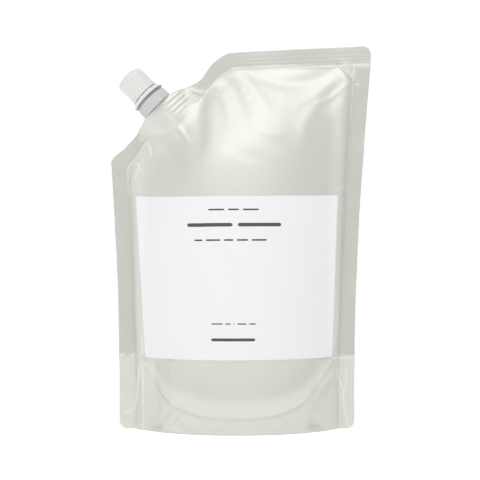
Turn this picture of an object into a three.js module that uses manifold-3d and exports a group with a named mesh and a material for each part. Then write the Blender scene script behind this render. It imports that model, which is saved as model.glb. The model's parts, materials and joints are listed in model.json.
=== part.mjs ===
// A one litre stand-up refill pouch for liquid soap, filled and closed.
//
// The pouch is two laminate panels and a folded bottom gusset, heat-sealed round the edge. One top
// corner is cut off at 45 degrees, and a moulded spout is welded into that cut. A ribbed screw cap
// closes the spout, a tamper band stays on its neck, and a paper label is stuck on the front.
//
// Millimetres, +Z up. The pouch stands on z = 0, its front faces -Y, and x = 0 and y = 0 are its
// middle planes.

import * as THREE from 'three';
import { mergeVertices } from 'three/addons/utils/BufferGeometryUtils.js';
import Module from 'manifold-3d';

const wasm = await Module();
wasm.setup();

// ---- driving dimensions -------------------------------------------------------------------------

const FLAT_WIDTH = 180; // of the empty pouch
const FILL_TOP = 247; // height of the top seal's lower edge
const DRAWN_IN = 12.6; // how far the filling draws each side edge in at the foot,
const DRAW_POWER = 2.2; // and how that falls off towards the top seal
const DRAW_ROUND = 1.2;
const SIDE_SEAL = 16;
const SHOULDER_SEAL = 9;
const SHOULDER_REACH = 52; // how far from the shoulder seal the pouch has its full depth
const FILM = 0.2; // laminate thickness
const SKIN = 2 * FILM; // two laminates sealed together
const CORNER = 4.5; // radius of the bottom and top right corners
const CLEAR = 0.3; // gap between separate pieces
const GLUE = 0.45; // gap between the film and the label

const SEAL_CENTRE = 7.5; // the round bottom seal: its height at the middle,
const SEAL_SIDE = 47.5; // and at the side seals, where the gusset is folded
const GUSSET_SAG = 30; // how far the gusset's middle would hang below the bottom seal
const HOLLOW_SHARE = 0.93; // of the width between the side seals, open under the gusset

const LABEL_BOTTOM = 47.5;
const LABEL_TOP = 152;
const LABEL_SHARE_BOTTOM = 0.79; // of the pouch's width
const LABEL_SHARE_TOP = 0.82;
const PAPER = 0.2;

const SPOUT_AT = new THREE.Vector3(-52.3, 0, 213.1); // where the spout's axis leaves the pouch
const SPOUT_TILT = -Math.PI / 4;
const BOAT_HALF = 20; // the welded base of the spout: half its length,
const BOAT_THICK = 15; // its thickness at the middle,
const BOAT_TOP = 1; // and how deep its top and its bottom are in the pouch
const BOAT_BOTTOM = 13;
const WELD_RIBS = 4;
const RIB_OUT = 0.5;
const COVER_LONGER = 3; // how far the film's swelling over the base passes each of its ends,
const COVER_FADE = 34; // how far below it the swelling dies out,
const COVER_SKIN = 0.6; // and the film over the weld
const BORE_R = 6.5;
const NECK_R = 8.1; // the neck under the cap
const STEM_R = 7.5; // the neck's foot, where it leaves the pouch
const COLLAR_R = 11.6;
const COLLAR_BOTTOM = 0.5;
const COLLAR_TOP = 7.6;
const COLLAR_NOTCHES = 16;
const NOTCH_DEPTH = 0.8;
const FOOT_OUT = 1; // how far the neck's thick foot stands out under the band
const FOOT_TAPER = 0.6;
const BEAD_R = 9.0; // bead that keeps the band on the neck
const BEAD_AT = 11.2;
const BEAD_SLOPE = 0.8;
const NECK_TOP = 26.7;
const NECK_CHAMFER = [0.5, 0.8]; // in from the side, down from the top

const BAND_BOTTOM = 9.4;
const BAND_TOP = 12.3;
const BAND_R_BOTTOM = 12.3;
const BAND_R_TOP = 10.3;
const BAND_INNER = 9.4;
const BAND_HOLLOW = 1.6; // how far up the band is open round the bead
const BAND_LIP = 1; // height and width of the lip at its foot
const BRIDGES = 8;
const BRIDGE = [0.5, 0.7, 1]; // across, round and up
const BRIDGE_DROP = 0.2; // the middle of a bridge below the band's top

const CAP_BOTTOM = 12.9;
const CAP_TOP = 29.8;
const CAP_R = 9.9;
const CAP_INNER = 8.9;
const CAP_ROOF = 1.5;
const CAP_EDGE = [[0, 2], [0.3, 1], [1.1, 0.3], [2.2, 0]]; // in from the side, down from the top
const CAP_RIBS = 36;
const RIB_DEPTH = 0.35;
const LINER_R = 8.5;
const LINER = 1.0;

// ---- helpers ------------------------------------------------------------------------------------

const clamp01 = (t) => Math.min(1, Math.max(0, t));
const lerp = (a, b, t) => a + (b - a) * t;

// A closed geometry as a manifold-3d solid, moved by matrix if one is given.
function toSolid(geometry, matrix = new THREE.Matrix4()) {
  const plain = new THREE.BufferGeometry();
  plain.setAttribute('position', geometry.getAttribute('position').clone());
  if (geometry.index) plain.setIndex(geometry.index.clone());
  plain.applyMatrix4(matrix);
  const merged = mergeVertices(plain, 1e-3);
  return new wasm.Manifold(new wasm.Mesh({
    numProp: 3,
    vertProperties: new Float32Array(merged.attributes.position.array),
    triVerts: new Uint32Array(merged.index.array),
  }));
}

function toGeometry(solid) {
  const { vertProperties, triVerts } = solid.getMesh();
  const geometry = new THREE.BufferGeometry();
  geometry.setAttribute('position', new THREE.BufferAttribute(new Float32Array(vertProperties), 3));
  geometry.setIndex(new THREE.BufferAttribute(new Uint32Array(triVerts), 1));
  geometry.computeVertexNormals();
  return geometry;
}

function piece(name, solid, colour, roughness, metalness = 0) {
  const material = new THREE.MeshStandardMaterial({ color: colour, roughness, metalness });
  const mesh = new THREE.Mesh(toGeometry(solid), material);
  mesh.name = name;
  return mesh;
}

// A closed solid between two grids of points that share their outline's order: outer faces out,
// inner faces the other way, and a wall joins their rims.
function betweenGrids(columns, rows, outer, inner) {
  const points = [];
  const faces = [];
  const at = (side, i, j) => (side * columns + i) * rows + j;
  for (const side of [outer, inner]) {
    for (let i = 0; i < columns; i++) {
      for (let j = 0; j < rows; j++) points.push(...side(i, j));
    }
  }
  const quad = (a, b, c, d) => faces.push(a, b, c, a, c, d);
  for (let i = 0; i + 1 < columns; i++) {
    for (let j = 0; j + 1 < rows; j++) {
      quad(at(0, i, j), at(0, i + 1, j), at(0, i + 1, j + 1), at(0, i, j + 1));
      quad(at(1, i, j), at(1, i, j + 1), at(1, i + 1, j + 1), at(1, i + 1, j));
    }
  }
  for (let i = 0; i + 1 < columns; i++) {
    quad(at(1, i, 0), at(1, i + 1, 0), at(0, i + 1, 0), at(0, i, 0));
    quad(at(0, i, rows - 1), at(0, i + 1, rows - 1), at(1, i + 1, rows - 1), at(1, i, rows - 1));
  }
  for (let j = 0; j + 1 < rows; j++) {
    quad(at(0, 0, j), at(0, 0, j + 1), at(1, 0, j + 1), at(1, 0, j));
    quad(at(1, columns - 1, j), at(1, columns - 1, j + 1), at(0, columns - 1, j + 1),
      at(0, columns - 1, j));
  }
  const geometry = new THREE.BufferGeometry();
  geometry.setAttribute('position', new THREE.Float32BufferAttribute(points, 3));
  geometry.setIndex(faces);
  return toSolid(geometry);
}

// ---- the filled pouch's shape -------------------------------------------------------------------

const halfWidth = (z) =>
  FLAT_WIDTH / 2 - DRAWN_IN * (1 - clamp01(z / FILL_TOP) ** DRAW_POWER) ** DRAW_ROUND;

// Half depth of the filled pouch at x, z. Between its side seals each panel bulges as an arc of a
// circle, which is as long as the flat panel and has a chord as wide as the pouch is drawn in to.
function arcDepth(x, z) {
  const length = FLAT_WIDTH / 2 - SIDE_SEAL;
  const chord = halfWidth(z) - SIDE_SEAL;
  let angle = Math.sqrt(6 * (1 - chord / length));
  for (let pass = 0; pass < 8; pass++) {
    const error = Math.sin(angle) / angle - chord / length;
    angle -= error / ((Math.cos(angle) - Math.sin(angle) / angle) / angle);
  }
  const radius = length / angle;
  return Math.sqrt(radius ** 2 - Math.min(Math.abs(x), chord) ** 2) - radius * Math.cos(angle);
}

// The cut corner and the top edge: a line of 45 degrees with a tab for the spout, then the top seal.
const SHOULDER = new THREE.CatmullRomCurve3([
  [-84.6, 172], [-83.4, 178.4], [-75.6, 185.6], [-67.9, 193.6], [-60.8, 204.6], [-52.3, 213.1],
  [-43.8, 221.6], [-34, 226.8], [-24.5, 232], [-17, 242.3], [-9, 248.4], [0, 250.8], [43, 252.9],
  [85.5, 255],
].map(([x, z]) => new THREE.Vector3(x, 0, z)), false, 'centripetal').getPoints(180);

function shoulderHeight(x) {
  if (x <= SHOULDER[0].x) return SHOULDER[0].z;
  const next = SHOULDER.findIndex((p) => p.x > x);
  if (next < 0) return SHOULDER.at(-1).z - cornerDrop(x, FLAT_WIDTH / 2);
  const [a, b] = [SHOULDER[next - 1], SHOULDER[next]];
  return lerp(a.z, b.z, (x - a.x) / (b.x - a.x));
}

// How far a round corner cuts the edge back at x.
function cornerDrop(x, edge) {
  const over = clamp01((Math.abs(x) - (edge - CORNER)) / CORNER);
  return CORNER * (1 - Math.sqrt(1 - over * over));
}

function shoulderDistance(x, z) {
  let nearest = Infinity;
  for (const p of SHOULDER) nearest = Math.min(nearest, Math.hypot(p.x - x, p.z - z));
  return nearest;
}

// How far the film stands out over the spout's base, at a point of the pouch.
function boatCover(x, z) {
  const out = new THREE.Vector3(x, 0, z).sub(SPOUT_AT)
    .applyAxisAngle(new THREE.Vector3(0, 1, 0), -SPOUT_TILT);
  const across = clamp01(1 - (out.x / (BOAT_HALF + COVER_LONGER)) ** 2);
  const inward = clamp01((-out.z - BOAT_BOTTOM) / COVER_FADE);
  const most = BOAT_THICK / 2 + CLEAR + COVER_SKIN;
  return most * across * (0.5 + 0.5 * Math.cos(Math.PI * inward));
}

// Half the pouch's thickness at x, z, with the sealed film in it.
function halfThickness(x, z) {
  const away = clamp01((shoulderDistance(x, z) - SHOULDER_SEAL) / SHOULDER_REACH);
  const bulge = z < FILL_TOP ? arcDepth(x, z) * Math.sin(Math.PI / 2 * away) : 0;
  return SKIN / 2 + Math.max(bulge, boatCover(x, z));
}

const sealHeight = (x) => {
  const across = Math.min(1, Math.abs(x) / (halfWidth(0) - SIDE_SEAL));
  return SEAL_CENTRE + (SEAL_SIDE - SEAL_CENTRE) * (1 - Math.sqrt(1 - across * across));
};

// ---- pouch --------------------------------------------------------------------------------------

const COLUMNS = 39;
const ROWS = 36;

// Columns stand closer together towards the sides, where the film turns most.
const columnShare = (i) => {
  const t = 2 * i / (COLUMNS - 1) - 1;
  return 0.75 * t + 0.25 * Math.sin(Math.PI / 2 * t);
};

// A point of the pouch's middle plane, for a share of its width and a share of its height.
function panelPoint(across, up) {
  let top = FILL_TOP;
  for (let pass = 0; pass < 12; pass++) top = shoulderHeight(across * halfWidth(top));
  const z = lerp(cornerDrop(across * halfWidth(0), halfWidth(0)), top, up);
  return [across * halfWidth(z), z];
}

// The hollow under the pouch, between its skirt and the gusset. It narrows to the side seals, and
// the sagging middle of the gusset leaves it there and rests on the floor.
function underHollow() {
  const columns = 33;
  const rows = 15;
  const reach = HOLLOW_SHARE * (halfWidth(0) - SIDE_SEAL);
  const at = (i, j, top) => {
    const x = reach * (2 * i / (columns - 1) - 1);
    const y = 1 - 2 * j / (rows - 1);
    const edge = halfThickness(x, top ? sealHeight(x) : 0) - SKIN;
    const sag = GUSSET_SAG * Math.sqrt(1 - (x / (halfWidth(0) - SIDE_SEAL)) ** 2) * (1 - y ** 4);
    return [x, y * edge, top ? Math.max(-0.5, sealHeight(x) - sag) : -1];
  };
  return betweenGrids(columns, rows, (i, j) => at(i, j, false), (i, j) => at(i, j, true));
}

const spoutFrame = new THREE.Matrix4().makeRotationY(SPOUT_TILT).setPosition(SPOUT_AT);

// An upright solid on the spout's axis, from its outline in the plane across that axis.
function extruded(outline, from, to) {
  const shape = new THREE.Shape(outline);
  const geometry = new THREE.ExtrudeGeometry(shape, { depth: to - from, bevelEnabled: false });
  return toSolid(geometry.translate(0, 0, from));
}

// A solid of revolution about the spout's axis, from [radius, height] points in turn, counted
// anticlockwise in the half plane.
function turned(profile, segments = 48) {
  const points = profile.map(([r, z]) => new THREE.Vector2(r, z));
  points.push(points[0].clone());
  return toSolid(new THREE.LatheGeometry(points, segments).rotateX(Math.PI / 2));
}

const cylinder = (radius, from, to) =>
  turned([[0, from], [radius, from], [radius, to], [0, to]]);

// The pointed oval of the spout's base, grown by extra all round.
function boatOutline(extra = 0) {
  const half = BOAT_HALF + extra;
  const points = [];
  for (const side of [-1, 1]) {
    for (let i = 0; i < 12; i++) {
      const t = side * (2 * i / 12 - 1);
      points.push(new THREE.Vector2(-half * t,
        side * (BOAT_THICK / 2 + extra) * (1 - t * t)));
    }
  }
  return points;
}

function pouchSolid() {
  const point = (i, j, side) => {
    const [x, z] = panelPoint(columnShare(i), j / (ROWS - 1));
    return [x, side * halfThickness(x, z), z];
  };
  const filled = betweenGrids(COLUMNS, ROWS, (i, j) => point(i, j, -1), (i, j) => point(i, j, 1));
  const pocket = extruded(boatOutline(CLEAR), -BOAT_BOTTOM - CLEAR, -BOAT_TOP + CLEAR)
    .add(cylinder(STEM_R + CLEAR, -BOAT_TOP - 1, 2));
  return filled.subtract(underHollow()).subtract(toSolid(toGeometry(pocket), spoutFrame));
}

// ---- label --------------------------------------------------------------------------------------

// Paper laid over the front panel: the panel's own surface moved out, cut to the label's outline.
function labelSolid() {
  const panel = (i, j, lift) => {
    const [x, z] = panelPoint(columnShare(i), j / (ROWS - 1));
    return [x, -halfThickness(x, z) - lift, z];
  };
  const paper = betweenGrids(COLUMNS, ROWS, (i, j) => panel(i, j, GLUE + PAPER),
    (i, j) => panel(i, j, GLUE));
  const bottom = LABEL_SHARE_BOTTOM * halfWidth(LABEL_BOTTOM);
  const top = LABEL_SHARE_TOP * halfWidth(LABEL_TOP);
  const outline = new THREE.Shape([[-bottom, LABEL_BOTTOM], [bottom, LABEL_BOTTOM], [top, LABEL_TOP],
    [-top, LABEL_TOP]].map(([x, z]) => new THREE.Vector2(x, z)));
  const cutter = new THREE.ExtrudeGeometry(outline, { depth: FLAT_WIDTH, bevelEnabled: false });
  return paper.intersect(toSolid(cutter.rotateX(Math.PI / 2)));
}

// ---- spout, band, cap and liner, on the spout's own axis ----------------------------------------

// A round outline with notches or grooves: count of them, depth deep. Each takes up half of its
// turn, and each of its sloping flanks a fifth of that.
function notched(radius, count, depth) {
  const share = 0.5;
  const flank = 0.2;
  const points = [];
  for (let i = 0; i < count; i++) {
    for (const [turn, r] of [[0, radius], [1 - share, radius],
      [1 - share * (1 - flank), radius - depth], [1 - share * flank, radius - depth]]) {
      const angle = 2 * Math.PI * (i + turn) / count;
      points.push(new THREE.Vector2(r * Math.cos(angle), r * Math.sin(angle)));
    }
  }
  return points;
}

function spoutSolid() {
  let solid = extruded(boatOutline(-RIB_OUT), -BOAT_BOTTOM, -BOAT_TOP);
  const pitch = (BOAT_BOTTOM - BOAT_TOP) / (2 * WELD_RIBS - 1);
  for (let rib = 0; rib < WELD_RIBS; rib++) {
    const low = -BOAT_BOTTOM + 2 * rib * pitch;
    solid = solid.add(extruded(boatOutline(), low, low + pitch));
  }
  solid = solid.add(cylinder(STEM_R, -BOAT_TOP - 1, 1));
  const collar = notched(COLLAR_R, COLLAR_NOTCHES, NOTCH_DEPTH);
  solid = solid.add(extruded(collar, COLLAR_BOTTOM, COLLAR_TOP));
  const foot = NECK_R + FOOT_OUT;
  const [chamferIn, chamferDown] = NECK_CHAMFER;
  solid = solid.add(turned([
    [0, COLLAR_TOP - 1], [foot, COLLAR_TOP - 1], [foot, BAND_BOTTOM], [NECK_R, BAND_BOTTOM + FOOT_TAPER],
    [NECK_R, BEAD_AT - BEAD_SLOPE], [BEAD_R, BEAD_AT], [NECK_R, BEAD_AT + BEAD_SLOPE],
    [NECK_R, NECK_TOP - chamferDown], [NECK_R - chamferIn, NECK_TOP], [0, NECK_TOP],
  ]));
  return solid.subtract(cylinder(BORE_R, -BOAT_BOTTOM - 1, NECK_TOP + 1));
}

function bandSolid() {
  let solid = turned([
    [BAND_INNER, BAND_TOP], [BAND_INNER, BAND_BOTTOM + BAND_HOLLOW],
    [BAND_R_BOTTOM - BAND_LIP, BAND_BOTTOM], [BAND_R_BOTTOM, BAND_BOTTOM],
    [BAND_R_BOTTOM, BAND_BOTTOM + BAND_LIP], [BAND_R_TOP, BAND_TOP - 0.5], [BAND_R_TOP - 0.3, BAND_TOP],
  ]);
  for (let i = 0; i < BRIDGES; i++) {
    const stub = new THREE.BoxGeometry(...BRIDGE);
    stub.translate((BAND_INNER + BAND_R_TOP) / 2, 0, BAND_TOP - BRIDGE_DROP);
    solid = solid.add(toSolid(stub.rotateZ(2 * Math.PI * (i + 0.5) / BRIDGES)));
  }
  return solid;
}

function capSolid() {
  const ribbed = extruded(notched(CAP_R, CAP_RIBS, RIB_DEPTH), CAP_BOTTOM, CAP_TOP);
  const edge = CAP_EDGE.map(([inward, down]) => [CAP_R - inward, CAP_TOP - down]);
  const rounded = turned([
    [0, CAP_BOTTOM - 1], [CAP_R + 1, CAP_BOTTOM - 1], [CAP_R + 1, CAP_TOP - 2.2],
    ...edge, [0, CAP_TOP],
  ], 72);
  return ribbed.intersect(rounded)
    .subtract(cylinder(CAP_INNER, CAP_BOTTOM - 1, CAP_TOP - CAP_ROOF));
}

const linerTop = CAP_TOP - CAP_ROOF - CLEAR;

// ---- assembly -----------------------------------------------------------------------------------

const pouch = piece('pouch', pouchSolid(), '#dfe1db', 0.38, 0.35);
const label = piece('label', labelSolid(), '#f1f1f1', 0.65);

const closure = new THREE.Group();
closure.position.copy(SPOUT_AT);
closure.rotation.y = SPOUT_TILT;
closure.add(
  piece('spout', spoutSolid(), '#c9ccd0', 0.4),
  piece('tamper_band', bandSolid(), '#eeeeea', 0.4),
  piece('cap', capSolid(), '#eceeec', 0.4),
  piece('cap_liner', cylinder(LINER_R, linerTop - LINER, linerTop), '#f4f4f2', 0.8),
);

const refillPack = new THREE.Group();
refillPack.add(pouch, label, closure);

export default refillPack;
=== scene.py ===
"""A full one litre refill pouch of liquid soap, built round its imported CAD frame.

Metres, +Z up. The pouch stands on z = 0 and its front faces -Y. A place on the film is given by
u, v: how far it lies right of the middle and up from the foot when the empty pouch is laid flat.
"""
import json
import math

import bpy
import numpy as np
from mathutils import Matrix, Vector


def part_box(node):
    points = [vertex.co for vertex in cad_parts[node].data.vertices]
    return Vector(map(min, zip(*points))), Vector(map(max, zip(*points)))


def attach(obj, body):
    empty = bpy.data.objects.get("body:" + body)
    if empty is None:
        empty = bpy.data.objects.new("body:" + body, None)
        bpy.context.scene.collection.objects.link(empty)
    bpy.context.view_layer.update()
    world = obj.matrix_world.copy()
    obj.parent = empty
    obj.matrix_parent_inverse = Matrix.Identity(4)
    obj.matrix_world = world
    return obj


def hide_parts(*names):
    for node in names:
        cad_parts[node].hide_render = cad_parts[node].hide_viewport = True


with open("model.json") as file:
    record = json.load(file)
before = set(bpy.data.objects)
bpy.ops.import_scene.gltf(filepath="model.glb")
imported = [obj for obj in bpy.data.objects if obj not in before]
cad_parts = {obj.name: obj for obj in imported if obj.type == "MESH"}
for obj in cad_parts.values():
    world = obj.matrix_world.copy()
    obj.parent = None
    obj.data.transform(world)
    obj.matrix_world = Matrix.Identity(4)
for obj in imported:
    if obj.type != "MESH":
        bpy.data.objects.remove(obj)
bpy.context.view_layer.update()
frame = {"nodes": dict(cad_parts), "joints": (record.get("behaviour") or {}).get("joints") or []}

MM = 0.001


# ---- film pouch ---------------------------------------------------------------------------------
# Two panels and a folded bottom gusset of pearl-printed polyester and polyethylene laminate, heat
# sealed round the edge. The liquid presses the panels out between the seals, and the surplus film
# lies in soft creases. Its shape is a cloth simulation of the flat panels under that pressure.

_, POUCH_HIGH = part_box("pouch")
FLAT_HALF = POUCH_HIGH[0]  # the top right corner is flat, so it is as far out as the empty film
SIDE_SEAL = 10 * MM
TOP_SEAL = 12 * MM
PANEL_HALF = FLAT_HALF - SIDE_SEAL
FILL_TOP = POUCH_HIGH[2] - 8 * MM  # as high as the liquid presses
DRAWN_IN = 12.6 * MM  # how far the liquid draws each side in at the foot
TOP_SLACK = 7 * MM  # how much longer the film is than the pouch is tall, at the middle
SHOULDER_SEAL = 9 * MM  # the first guess lies flat this near the top edge
SHOULDER_REACH = 52 * MM  # and is full this much further in
SEALED_HALF = 0.2 * MM  # half the thickness of the two laminates in a seal
CORNER = 5.5 * MM  # radius of the film's round corners

SPOUT_AXIS = Vector(next(j["axis"] for j in frame["joints"] if j["name"] == "cap_turn")).normalized()
SPOUT_AT = Vector((-52.3 * MM, 0, 213.1 * MM))  # where the spout's axis leaves the film
BOAT_HALF = 20 * MM  # the spout's welded base: half its width, its thickness, and how deep it goes
BOAT_THICK = 15 * MM
BOAT_BOTTOM = 13 * MM
COVER_WIDER = 2 * MM  # how much further out than the base the film over it closes
COVER_FADE = 34 * MM  # and how far below the base it takes to settle
COVER_GAP = 0.3 * MM


def through(points, steps=24):
    """A smooth line through the points, given in millimetres, as an array in metres."""
    points = np.array(points) * MM
    padded = np.vstack([2 * points[0] - points[1], points, 2 * points[-1] - points[-2]])
    t = np.linspace(0, 1, steps, endpoint=False)[:, None]
    spans = [0.5 * (2 * b + (c - a) * t + (2 * a - 5 * b + 4 * c - d) * t ** 2
                    + (3 * b - a - 3 * c + d) * t ** 3)
             for a, b, c, d in zip(padded, padded[1:], padded[2:], padded[3:])]
    return np.vstack(spans + [points[-1:]])


# The cut corner with its tab for the spout, then the top edge.
TOP_EDGE = through([
    (-84.6, 172), (-83.4, 178.4), (-75.6, 185.6), (-67.9, 193.6), (-60.8, 204.6), (-52.3, 213.1),
    (-43.8, 221.6), (-34, 226.8), (-24.5, 232), (-17, 242.3), (-9, 248.4), (0, 250.8), (43, 252.9),
    (85.5, 255)])


def half_width(z):
    """Half the filled pouch's width at a height."""
    return FLAT_HALF - DRAWN_IN * (1 - np.clip(z / FILL_TOP, 0, 1) ** 2.2) ** 1.2


def corner_drop(u):
    """How far a round corner cuts the film's edge back."""
    over = np.clip((np.abs(u) - FLAT_HALF + CORNER) / CORNER, 0, 1)
    return CORNER * (1 - np.sqrt(1 - over ** 2))


def arc_angle(chord, length):
    """Half the angle of the arc of a circle that has this half chord and half length."""
    ratio = np.minimum(chord / length, 1 - 1e-6)
    angle = np.sqrt(6 * (1 - ratio))
    for _ in range(6):
        sinc = np.sin(angle) / angle
        angle -= (sinc - ratio) * angle / (np.cos(angle) - sinc)
    return angle


def spout_place(x, z):
    """How far a place in the pouch's middle plane lies across and along the spout's axis."""
    dx, dz = x - SPOUT_AT.x, z - SPOUT_AT.z
    return dx * SPOUT_AXIS.z - dz * SPOUT_AXIS.x, dx * SPOUT_AXIS.x + dz * SPOUT_AXIS.z


def boat_cover(x, z):
    """How far the film is held out over the spout's welded base."""
    across, along = spout_place(x, z)
    swell = np.clip(1 - (across / (BOAT_HALF + COVER_WIDER)) ** 2, 0, 1)
    inward = np.clip((-along - BOAT_BOTTOM) / COVER_FADE, 0, 1)
    return (BOAT_THICK / 2 + COVER_GAP) * swell * (0.5 + 0.5 * np.cos(math.pi * inward))


SEAL_FOLD = 47.5 * MM  # the gusset's fold, where it is caught in the side seals
SEAL_CENTRE = 10 * MM  # the round bottom seal's height at the middle
SEAL_REACH = 74 * MM  # how far out it meets the fold


def bottom_seal(u):
    """Height of the round bottom seal's upper edge."""
    across = np.clip(np.abs(u) / SEAL_REACH, 0, 1)
    return SEAL_CENTRE + (SEAL_FOLD - SEAL_CENTRE) * across ** 2.8


def film_start(columns, seal_columns, rows, seal_rows):
    """The flat film and a first guess at the filled one, as grids of points, and what is held.

    Columns run up the pouch, and the first and last ones lie in the side seals. The last rows lie in
    the top seal."""
    u = np.concatenate([np.linspace(-FLAT_HALF, -PANEL_HALF, seal_columns + 1)[:-1],
                        np.linspace(-PANEL_HALF, PANEL_HALF, columns - 2 * seal_columns),
                        np.linspace(PANEL_HALF, FLAT_HALF, seal_columns + 1)[1:]])
    x_top = u.copy()
    for _ in range(20):
        x_top = u * half_width(np.interp(x_top, *TOP_EDGE.T)) / FLAT_HALF
    z_top = np.interp(x_top, *TOP_EDGE.T)
    up = np.concatenate([np.linspace(0, 1, rows - seal_rows), np.ones(seal_rows)])
    in_seal = np.concatenate([np.zeros(rows - seal_rows), np.linspace(0, 1, seal_rows + 1)[1:]])
    z_seal = z_top - TOP_SEAL
    z = z_seal[:, None] * up + TOP_SEAL * in_seal
    v = z + TOP_SLACK * (1 - (u[:, None] / FLAT_HALF) ** 2) * up

    u = np.repeat(u[:, None], rows, axis=1)
    chord = half_width(z) - SIDE_SEAL
    angle = arc_angle(chord, PANEL_HALF)
    turn = angle * np.clip(u / PANEL_HALF, -1, 1)
    x_flat = u * half_width(z) / FLAT_HALF
    edge_x, edge_z = TOP_EDGE[::6].T
    edge_gap = np.hypot(x_flat[..., None] - edge_x, z[..., None] - edge_z).min(axis=2)
    bulge = np.sin(math.pi / 2 * np.clip((edge_gap - SHOULDER_SEAL) / SHOULDER_REACH, 0, 1))
    x_arc = PANEL_HALF / angle * np.sin(turn)
    x = x_flat + (x_arc - x_flat) * np.sqrt(bulge)
    depth = PANEL_HALF / angle * (np.cos(turn) - np.cos(angle)) * bulge
    side = np.abs(u) >= PANEL_HALF
    x = np.where(side, np.sign(u) * (half_width(z) - FLAT_HALF + np.abs(u)), x)
    cover = boat_cover(x, z)
    depth = np.maximum(np.where(side, 0, depth), cover)
    across, along = spout_place(x, z)
    on_boat = (np.abs(across) < BOAT_HALF + 1 * MM) & (along > -BOAT_BOTTOM)
    held = side | on_boat | (up >= 1)[None, :] | (np.arange(rows) == 0)[None, :]
    return np.stack([u, v], axis=2), np.stack([x, depth, z], axis=2), held


def ridge(gap, width):
    """One on a line and near nought beyond this width on either side of it."""
    return np.exp(-(gap / width) ** 2)


def step(value, width):
    """A soft step from nought to one where the value passes nought."""
    return 0.5 + 0.5 * np.tanh(value / width)


CLOTH_SCALE = 10  # cloth settings suit things a few metres across
HEAD_LOSS = 0.75  # how much less the liquid presses at the top of the fill than at the foot
WELD_REACH = 34 * MM  # how far from the spout's base the film is smoothed
GRID_ROWS = 85


def fill_panel(name, facing, steps):
    """One panel pressed out by the liquid: its flat places and its filled shape, as grids.

    facing is -1 for the front panel and 1 for the back one."""
    flat, shape, held = film_start(columns=61, seal_columns=5, rows=GRID_ROWS, seal_rows=4)
    shape[..., 1] *= facing
    columns, rows = held.shape
    mesh = bpy.data.meshes.new(name)
    corners = [(i * rows + j, (i + 1) * rows + j, (i + 1) * rows + j + 1, i * rows + j + 1)
               for i in range(columns - 1) for j in range(rows - 1)]
    if facing > 0:
        corners = [face[::-1] for face in corners]
    mesh.from_pydata((shape.reshape(-1, 3) * CLOTH_SCALE).tolist(), [], corners)
    panel = bpy.data.objects.new(name, mesh)
    bpy.context.scene.collection.objects.link(panel)
    panel.shape_key_add(name="filled")
    empty = panel.shape_key_add(name="empty")
    flat_points = np.stack([flat[..., 0], 0 * flat[..., 0], flat[..., 1]], axis=2) * CLOTH_SCALE
    empty.data.foreach_set("co", flat_points.ravel())
    sealed = panel.vertex_groups.new(name="sealed")
    sealed.add(np.flatnonzero(held).tolist(), 1.0, "REPLACE")
    pressed = panel.vertex_groups.new(name="pressed")
    welded = held | (flat[..., 1] < bottom_seal(flat[..., 0]))
    head = np.clip(1 - HEAD_LOSS * shape[..., 2] / FILL_TOP, 0.05, 1)
    push = np.where(welded, 0, head).ravel()
    for index in np.flatnonzero(push):
        pressed.add([int(index)], float(push[index]), "REPLACE")

    cloth = panel.modifiers.new("film", "CLOTH")
    cloth.collision_settings.use_collision = False
    cloth.point_cache.frame_end = steps
    settings = cloth.settings
    settings.quality = 8
    settings.mass = 0.15
    settings.tension_stiffness = 300
    settings.compression_stiffness = 100
    settings.shear_stiffness = 100
    settings.bending_stiffness = 0.15
    settings.tension_damping = settings.compression_damping = settings.shear_damping = 25
    settings.air_damping = 5
    settings.vertex_group_mass = sealed.name
    settings.use_pressure = True
    settings.uniform_pressure_force = 30
    settings.vertex_group_pressure = pressed.name
    settings.rest_shape_key = empty
    settings.effector_weights.gravity = 0
    for moment in range(1, steps + 1):
        bpy.context.scene.frame_set(moment)
    filled = panel.evaluated_get(bpy.context.evaluated_depsgraph_get()).data
    points = np.empty(len(filled.vertices) * 3)
    filled.vertices.foreach_get("co", points)
    bpy.data.objects.remove(panel)
    bpy.context.scene.frame_set(1)
    points = points.reshape(columns, rows, 3) / CLOTH_SCALE

    # Round the spout's base the welded film's edge is stepped, so the film there is smoothed.
    across, along = spout_place(shape[..., 0], shape[..., 2])
    near = step(WELD_REACH - np.hypot(across / 1.1, along + 8 * MM), 4 * MM)[1:-1, 1:-1]
    depth = points[..., 1]
    for _ in range(8):
        around = (depth[:-2, 1:-1] + depth[2:, 1:-1] + depth[1:-1, :-2] + depth[1:-1, 2:]) / 4
        depth[1:-1, 1:-1] += (around - depth[1:-1, 1:-1]) * near * 0.6
    return flat, points


def resampled(grid, places, axis):
    """A grid of points read at fractional places along one axis, on smooth curves."""
    grid = np.moveaxis(grid, axis, 0)
    start = np.clip(np.floor(places).astype(int), 0, len(grid) - 2)
    t = (places - start).reshape((-1,) + (1,) * (grid.ndim - 1))
    a, b = grid[np.maximum(start - 1, 0)], grid[start]
    c, d = grid[start + 1], grid[np.minimum(start + 2, len(grid) - 1)]
    read = 0.5 * (2 * b + (c - a) * t + (2 * a - 5 * b + 4 * c - d) * t ** 2
                  + (3 * b - a - 3 * c + d) * t ** 3)
    return np.moveaxis(read, 0, axis)


def spaced(stops):
    """Values from the first stop's place to the last's, each stretch in steps of about its size."""
    stretches = [np.linspace(a, b, max(2, round((b - a) / size)), endpoint=False)
                 for (a, size), (b, _) in zip(stops, stops[1:])]
    return np.concatenate(stretches + [[stops[-1][0]]])


def outward(points):
    """Unit normals of a grid of points."""
    normal = np.cross(np.gradient(points, axis=0), np.gradient(points, axis=1))
    return normal / np.maximum(np.linalg.norm(normal, axis=2, keepdims=True), 1e-12)


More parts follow.
